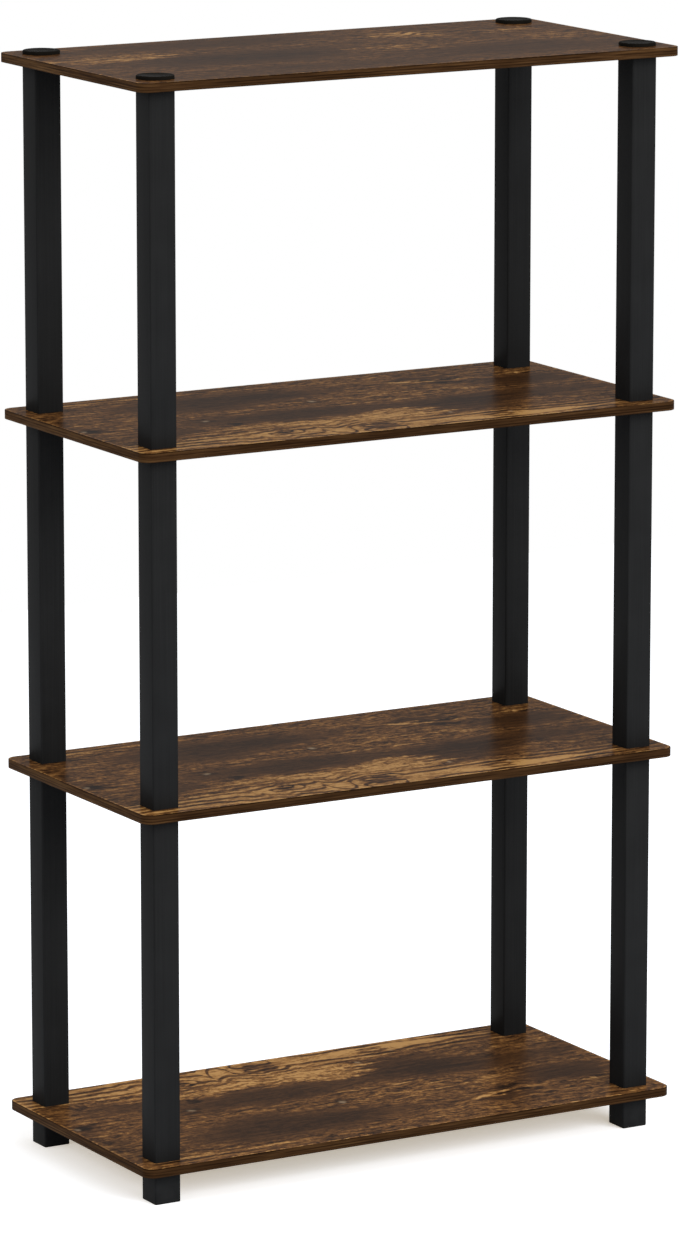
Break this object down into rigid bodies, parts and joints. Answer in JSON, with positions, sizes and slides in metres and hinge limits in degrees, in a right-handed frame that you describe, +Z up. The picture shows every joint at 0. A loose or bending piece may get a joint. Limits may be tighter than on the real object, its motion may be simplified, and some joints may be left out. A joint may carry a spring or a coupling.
{
  "type": "open shelving unit",
  "caption": "Open shelving unit with thin rounded-corner wood-effect boards on square black tubes that screw together through the boards, on short feet, with flat round caps.",
  "frame": {"origin": "on the floor, under the middle of the unit", "axes": "+X along the boards' width, +Y from the front to the back, +Z up"},
  "size_m": [0.6, 0.295, 1.097],
  "materials": {
    "board_laminate": "printed wood-grain foil on a thin pressed board, smooth with a clear sheen",
    "edge_band": "printed wood-grain strip, satin",
    "black_plastic": "satin black"
  },
  "bodies": {
    "unit": {"board_1": "board_laminate", "board_2": "board_laminate", "board_3": "board_laminate", "board_4": "board_laminate", "edge_band_1": "edge_band", "edge_band_2": "edge_band", "edge_band_3": "edge_band", "edge_band_4": "edge_band", "foot_back_left": "black_plastic", "foot_back_right": "black_plastic", "foot_front_left": "black_plastic", "foot_front_right": "black_plastic", "socket_plug_back_left_1": "black_plastic", "socket_plug_back_left_2": "black_plastic", "socket_plug_back_left_3": "black_plastic", "socket_plug_back_right_1": "black_plastic", "socket_plug_back_right_2": "black_plastic", "socket_plug_back_right_3": "black_plastic", "socket_plug_front_left_1": "black_plastic", "socket_plug_front_left_2": "black_plastic", "socket_plug_front_left_3": "black_plastic", "socket_plug_front_right_1": "black_plastic", "socket_plug_front_right_2": "black_plastic", "socket_plug_front_right_3": "black_plastic", "stud_plug_back_left_1": "black_plastic", "stud_plug_back_left_2": "black_plastic", "stud_plug_back_left_3": "black_plastic", "stud_plug_back_right_1": "black_plastic", "stud_plug_back_right_2": "black_plastic", "stud_plug_back_right_3": "black_plastic", "stud_plug_front_left_1": "black_plastic", "stud_plug_front_left_2": "black_plastic", "stud_plug_front_left_3": "black_plastic", "stud_plug_front_right_1": "black_plastic", "stud_plug_front_right_2": "black_plastic", "stud_plug_front_right_3": "black_plastic", "tube_back_left_1": "black_plastic", "tube_back_left_2": "black_plastic", "tube_back_left_3": "black_plastic", "tube_back_right_1": "black_plastic", "tube_back_right_2": "black_plastic", "tube_back_right_3": "black_plastic", "tube_front_left_1": "black_plastic", "tube_front_left_2": "black_plastic", "tube_front_left_3": "black_plastic", "tube_front_right_1": "black_plastic", "tube_front_right_2": "black_plastic", "tube_front_right_3": "black_plastic"},
    "screw_cap_front_left": {"cap_front_left": "black_plastic"},
    "screw_cap_front_right": {"cap_front_right": "black_plastic"},
    "screw_cap_back_left": {"cap_back_left": "black_plastic"},
    "screw_cap_back_right": {"cap_back_right": "black_plastic"}
  },
  "joints": [
    {"name": "cap_front_left_lift", "type": "slide", "parent": "unit", "child": "screw_cap_front_left", "axis": [0, 0, 1], "range_m": [0, 0.014]},
    {"name": "cap_front_right_lift", "type": "slide", "parent": "unit", "child": "screw_cap_front_right", "axis": [0, 0, 1], "range_m": [0, 0.014]},
    {"name": "cap_back_left_lift", "type": "slide", "parent": "unit", "child": "screw_cap_back_left", "axis": [0, 0, 1], "range_m": [0, 0.014]},
    {"name": "cap_back_right_lift", "type": "slide", "parent": "unit", "child": "screw_cap_back_right", "axis": [0, 0, 1], "range_m": [0, 0.014]}
  ]
}
